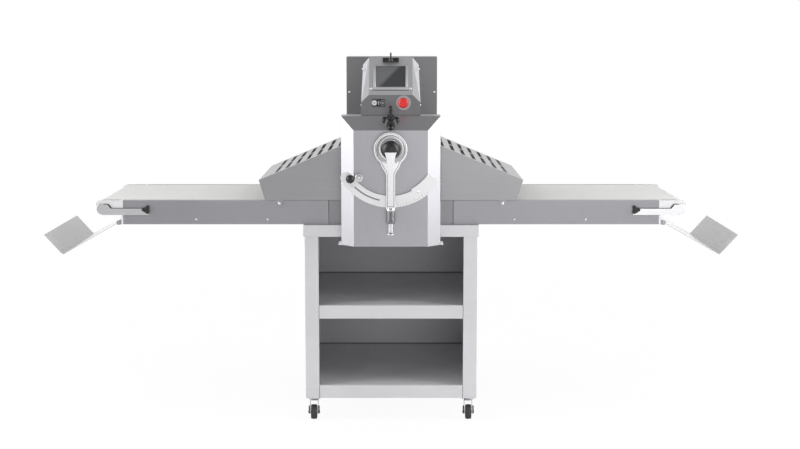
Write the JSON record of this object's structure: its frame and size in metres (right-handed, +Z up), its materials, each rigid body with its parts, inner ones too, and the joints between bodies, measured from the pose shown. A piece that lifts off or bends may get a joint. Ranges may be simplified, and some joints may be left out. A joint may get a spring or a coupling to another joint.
{
  "type": "dough sheeter",
  "caption": "Floor-standing dough sheeter: two belt tables, roller head with gap lever and slotted guards, control head, catch pans and an open shelf cabinet on casters.",
  "frame": {"origin": "middle of the footprint, on the floor under the casters", "axes": "+X along the belts to the operator's right, +Y away from the operator, +Z up"},
  "size_m": [2.7878, 0.998, 1.486],
  "materials": {
    "cabinet_steel": "satin stainless sheet",
    "column_steel": "fine brushed stainless sheet",
    "rear_steel": "matt brushed stainless sheet",
    "plate_steel": "machined plate",
    "table_steel": "satin stainless sheet",
    "roller_steel": "hard chromed, ground",
    "belt_roller_steel": "turned",
    "gear_steel": "oiled steel",
    "bright_steel": "polished",
    "caster_steel": "zinc plated",
    "belt_fabric": "white woven belt",
    "wheel_plastic": "dark grey tread",
    "black_plastic": "moulded black",
    "sleeve_grip": "knurled dark grip",
    "white_plastic": "light button cap",
    "red_plastic": "red mushroom head",
    "window_plastic": "smoked display window",
    "motor_paint": "motor enamel"
  },
  "bodies": {
    "machine": {"cabinet_left_side": "cabinet_steel", "cabinet_right_side": "cabinet_steel", "cabinet_back": "cabinet_steel", "cabinet_deck": "cabinet_steel", "middle_shelf": "cabinet_steel", "bottom_shelf": "cabinet_steel", "front_housing": "column_steel", "front_side_plate": "plate_steel", "rear_housing": "rear_steel", "rear_side_plate": "plate_steel", "drive_motor": "motor_paint", "drive_chain": "gear_steel", "lower_scraper_left": "table_steel", "lower_scraper_right": "table_steel", "roller_cover": "column_steel", "sector_arc": "plate_steel", "control_head": "column_steel", "control_window": "window_plastic", "switch_plate": "black_plastic", "top_joystick_base": "black_plastic", "front_joystick_boot": "black_plastic", "left_table_frame": "table_steel", "right_table_frame": "table_steel", "left_belt": "belt_fabric", "right_belt": "belt_fabric"},
    "gap_lever": {"gap_lever": "bright_steel", "hub_cap": "black_plastic", "lever_shaft": "plate_steel"},
    "lever_sleeve": {"lever_sleeve": "sleeve_grip"},
    "upper_carriage": {"upper_carriage": "plate_steel", "upper_scraper_left": "table_steel", "upper_scraper_right": "table_steel"},
    "upper_roller": {"upper_roller": "roller_steel"},
    "lower_roller": {"lower_roller": "roller_steel"},
    "motor_sprocket": {"motor_sprocket": "gear_steel"},
    "stop_slider": {"stop_slider": "bright_steel", "stop_ball": "black_plastic"},
    "front_joystick_stick": {"front_joystick_stick": "black_plastic"},
    "top_joystick_stick": {"top_joystick_stick": "black_plastic"},
    "on_button": {"on_button": "white_plastic"},
    "off_button": {"off_button": "black_plastic"},
    "stop_button": {"stop_button": "red_plastic"},
    "left_drive_roller": {"left_drive_roller": "belt_roller_steel"},
    "left_end_roller": {"left_end_roller": "belt_roller_steel"},
    "left_tension_lever": {"left_tension_lever": "bright_steel"},
    "left_catch_pan": {"left_catch_pan": "table_steel"},
    "left_guard": {"left_guard": "table_steel"},
    "right_drive_roller": {"right_drive_roller": "belt_roller_steel"},
    "right_end_roller": {"right_end_roller": "belt_roller_steel"},
    "right_tension_lever": {"right_tension_lever": "bright_steel"},
    "right_catch_pan": {"right_catch_pan": "table_steel"},
    "right_guard": {"right_guard": "table_steel"},
    "caster_fork_front_left": {"caster_fork_front_left": "caster_steel"},
    "caster_wheel_front_left": {"caster_wheel_front_left": "wheel_plastic"},
    "caster_fork_front_right": {"caster_fork_front_right": "caster_steel"},
    "caster_wheel_front_right": {"caster_wheel_front_right": "wheel_plastic"},
    "caster_fork_rear_left": {"caster_fork_rear_left": "caster_steel"},
    "caster_wheel_rear_left": {"caster_wheel_rear_left": "wheel_plastic"},
    "caster_fork_rear_right": {"caster_fork_rear_right": "caster_steel"},
    "caster_wheel_rear_right": {"caster_wheel_rear_right": "wheel_plastic"}
  },
  "joints": [
    {"name": "lever_turn", "type": "hinge", "parent": "machine", "child": "gap_lever", "pos_m": [0, -0.466, 1.117], "axis": [0, 1, 0], "range_deg": [-43, 43]},
    {"name": "sleeve_slide", "type": "slide", "parent": "gap_lever", "child": "lever_sleeve", "axis": [0, 0, -1], "range_m": [0, 0.012], "stiffness_N_per_m": 400},
    {"name": "carriage_lift", "type": "slide", "parent": "machine", "child": "upper_carriage", "axis": [0, 0, 1], "range_m": [-0.017, 0.017]},
    {"name": "upper_roller_spin", "type": "hinge", "parent": "upper_carriage", "child": "upper_roller", "pos_m": [0, 0.024, 0.9505], "axis": [0, 1, 0], "continuous": true},
    {"name": "lower_roller_spin", "type": "hinge", "parent": "machine", "child": "lower_roller", "pos_m": [0, 0.024, 0.861], "axis": [0, 1, 0], "continuous": true},
    {"name": "motor_spin", "type": "hinge", "parent": "machine", "child": "motor_sprocket", "pos_m": [0, 0.334, 1.06], "axis": [0, 1, 0], "continuous": true},
    {"name": "left_drive_roller_spin", "type": "hinge", "parent": "machine", "child": "left_drive_roller", "pos_m": [-0.1, 0.024, 0.8695], "axis": [0, 1, 0], "continuous": true},
    {"name": "left_end_roller_spin", "type": "hinge", "parent": "machine", "child": "left_end_roller", "pos_m": [-1.152, 0.024, 0.8695], "axis": [0, 1, 0], "continuous": true},
    {"name": "left_tension_turn", "type": "hinge", "parent": "machine", "child": "left_tension_lever", "pos_m": [-1.152, 0.024, 0.8695], "axis": [0, 1, 0], "range_deg": [0, 35]},
    {"name": "left_pan_tilt", "type": "hinge", "parent": "machine", "child": "left_catch_pan", "pos_m": [-1.0925, 0.024, 0.8065], "axis": [0, 1, 0], "range_deg": [0, 30]},
    {"name": "left_guard_lift", "type": "hinge", "parent": "machine", "child": "left_guard", "pos_m": [-0.446, 0.024, 0.886], "axis": [0, -1, 0], "range_deg": [0, 40]},
    {"name": "right_drive_roller_spin", "type": "hinge", "parent": "machine", "child": "right_drive_roller", "pos_m": [0.1, 0.024, 0.8695], "axis": [0, 1, 0], "continuous": true},
    {"name": "right_end_roller_spin", "type": "hinge", "parent": "machine", "child": "right_end_roller", "pos_m": [1.152, 0.024, 0.8695], "axis": [0, 1, 0], "continuous": true},
    {"name": "right_tension_turn", "type": "hinge", "parent": "machine", "child": "right_tension_lever", "pos_m": [1.152, 0.024, 0.8695], "axis": [0, -1, 0], "range_deg": [0, 35]},
    {"name": "right_pan_tilt", "type": "hinge", "parent": "machine", "child": "right_catch_pan", "pos_m": [1.0925, 0.024, 0.8065], "axis": [0, -1, 0], "range_deg": [0, 30]},
    {"name": "right_guard_lift", "type": "hinge", "parent": "machine", "child": "right_guard", "pos_m": [0.446, 0.024, 0.886], "axis": [0, 1, 0], "range_deg": [0, 40]},
    {"name": "stop_slide", "type": "hinge", "parent": "machine", "child": "stop_slider", "pos_m": [0, -0.4483, 1.117], "axis": [0, -1, 0], "range_deg": [0, 32]},
    {"name": "front_joystick_tilt", "type": "hinge", "parent": "machine", "child": "front_joystick_stick", "pos_m": [0, -0.44282, 1.24507], "axis": [0, 0.6898, 0.724], "range_deg": [-15, 15], "stiffness_Nm_per_rad": 0.08},
    {"name": "top_joystick_tilt", "type": "hinge", "parent": "machine", "child": "top_joystick_stick", "pos_m": [0, -0.33923, 1.4655], "axis": [0, 1, 0], "range_deg": [-15, 15], "stiffness_Nm_per_rad": 0.02},
    {"name": "on_button_press", "type": "slide", "parent": "machine", "child": "on_button", "axis": [0, 1, 0], "range_m": [0, 0.0025], "stiffness_N_per_m": 600},
    {"name": "off_button_press", "type": "slide", "parent": "machine", "child": "off_button", "axis": [0, 1, 0], "range_m": [0, 0.0025], "stiffness_N_per_m": 600},
    {"name": "stop_button_press", "type": "slide", "parent": "machine", "child": "stop_button", "axis": [0, 1, 0], "range_m": [0, 0.004]},
    {"name": "swivel_front_left", "type": "hinge", "parent": "machine", "child": "caster_fork_front_left", "pos_m": [-0.314, -0.26, 0.03], "axis": [0, 0, 1], "continuous": true},
    {"name": "wheel_spin_front_left", "type": "hinge", "parent": "caster_fork_front_left", "child": "caster_wheel_front_left", "pos_m": [-0.314, -0.28, 0.03], "axis": [1, 0, 0], "continuous": true},
    {"name": "swivel_front_right", "type": "hinge", "parent": "machine", "child": "caster_fork_front_right", "pos_m": [0.314, -0.26, 0.03], "axis": [0, 0, 1], "continuous": true},
    {"name": "wheel_spin_front_right", "type": "hinge", "parent": "caster_fork_front_right", "child": "caster_wheel_front_right", "pos_m": [0.314, -0.28, 0.03], "axis": [1, 0, 0], "continuous": true},
    {"name": "swivel_rear_left", "type": "hinge", "parent": "machine", "child": "caster_fork_rear_left", "pos_m": [-0.314, 0.458, 0.03], "axis": [0, 0, 1], "continuous": true},
    {"name": "wheel_spin_rear_left", "type": "hinge", "parent": "caster_fork_rear_left", "child": "caster_wheel_rear_left", "pos_m": [-0.314, 0.438, 0.03], "axis": [1, 0, 0], "continuous": true},
    {"name": "swivel_rear_right", "type": "hinge", "parent": "machine", "child": "caster_fork_rear_right", "pos_m": [0.314, 0.458, 0.03], "axis": [0, 0, 1], "continuous": true},
    {"name": "wheel_spin_rear_right", "type": "hinge", "parent": "caster_fork_rear_right", "child": "caster_wheel_rear_right", "pos_m": [0.314, 0.438, 0.03], "axis": [1, 0, 0], "continuous": true}
  ],
  "couplings": [
    {"joint": "carriage_lift", "follows": "lever_turn", "m_per_rad": -0.02263},
    {"joint": "upper_roller_spin", "follows": "lower_roller_spin", "ratio": -1},
    {"joint": "motor_spin", "follows": "lower_roller_spin", "ratio": 1.6923},
    {"joint": "left_drive_roller_spin", "follows": "lower_roller_spin", "ratio": 1.44},
    {"joint": "left_end_roller_spin", "follows": "lower_roller_spin", "ratio": 1.44},
    {"joint": "right_drive_roller_spin", "follows": "lower_roller_spin", "ratio": 1.44},
    {"joint": "right_end_roller_spin", "follows": "lower_roller_spin", "ratio": 1.44}
  ]
}
